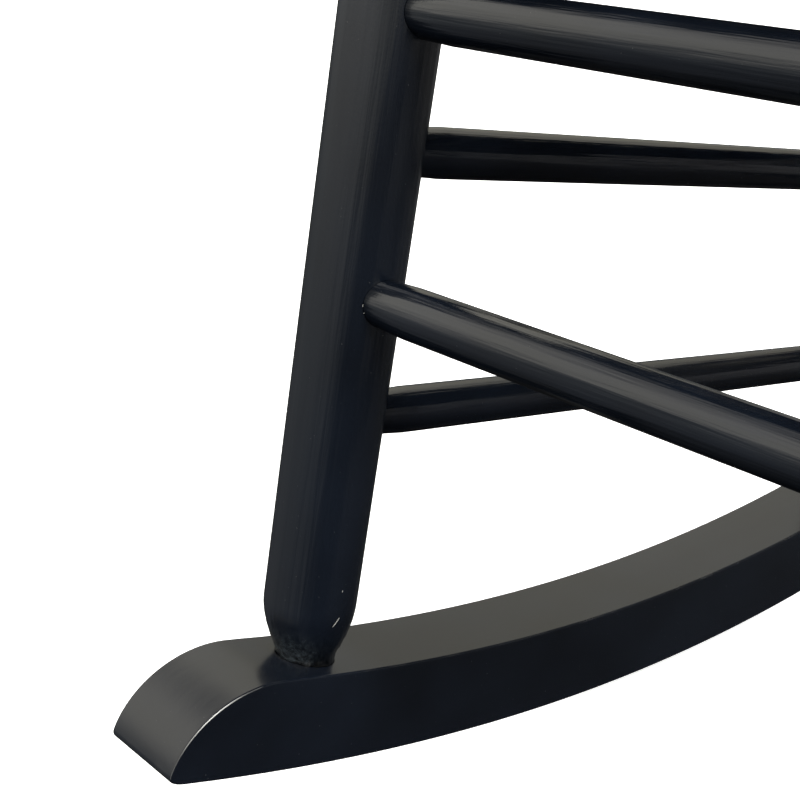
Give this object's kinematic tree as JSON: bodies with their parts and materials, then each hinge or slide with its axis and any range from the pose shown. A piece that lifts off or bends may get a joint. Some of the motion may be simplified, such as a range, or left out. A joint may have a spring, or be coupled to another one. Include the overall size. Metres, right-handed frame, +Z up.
{
  "type": "rocking chair",
  "caption": "Wooden porch rocking chair on curved rockers, with turned legs and rungs, a slatted seat, a tall slatted back and flat arms.",
  "frame": {"origin": "on the floor, at the centre of the chair's footprint box, with the empty chair at rest", "axes": "+X to the sitter's left, +Y to the back, +Z up"},
  "size_m": [0.662, 0.8912, 1.1201],
  "materials": {
    "rocker_paint": "satin black paint over smooth sanded hardwood",
    "turned_paint": "semi-gloss black paint over turned hardwood",
    "board_paint": "satin black paint over planed hardwood",
    "steel": "black oxide"
  },
  "bodies": {
    "root": {"rocker_left": "rocker_paint", "rocker_right": "rocker_paint", "front_leg_left": "turned_paint", "front_leg_right": "turned_paint", "back_post_left": "turned_paint", "back_post_right": "turned_paint", "front_rung_lower": "turned_paint", "front_rung_upper": "turned_paint", "rear_rung_lower": "turned_paint", "rear_rung_upper": "turned_paint", "side_rung_lower_left": "turned_paint", "side_rung_lower_right": "turned_paint", "side_rung_upper_left": "turned_paint", "side_rung_upper_right": "turned_paint", "seat_front_rail": "board_paint", "seat_rear_rail": "board_paint", "seat_side_rail_left": "board_paint", "seat_side_rail_right": "board_paint", "seat_slat_1": "board_paint", "seat_slat_2": "board_paint", "seat_slat_3": "board_paint", "seat_slat_4": "board_paint", "seat_slat_5": "board_paint", "seat_slat_6": "board_paint", "seat_slat_7": "board_paint", "seat_slat_8": "board_paint", "seat_slat_9": "board_paint", "lower_back_rail": "board_paint", "crest_rail": "board_paint", "back_slat_1": "board_paint", "back_slat_2": "board_paint", "back_slat_3": "board_paint", "back_slat_4": "board_paint", "back_slat_5": "board_paint", "back_slat_6": "board_paint", "back_slat_7": "board_paint", "arm_left": "board_paint", "arm_right": "board_paint", "arm_plug_left": "board_paint", "arm_plug_right": "board_paint", "rocker_screw_front_left": "steel", "rocker_screw_front_right": "steel", "rocker_screw_rear_left": "steel", "rocker_screw_rear_right": "steel", "arm_screw_front_left": "steel", "arm_screw_front_right": "steel", "arm_screw_rear_left": "steel", "arm_screw_rear_right": "steel", "seat_bolt_front_left": "steel", "seat_bolt_front_right": "steel", "seat_bolt_rear_left": "steel", "seat_bolt_rear_right": "steel", "barrel_nut_front_left": "steel", "barrel_nut_front_right": "steel", "barrel_nut_rear_left": "steel", "barrel_nut_rear_right": "steel"}
  },
  "joints": []
}
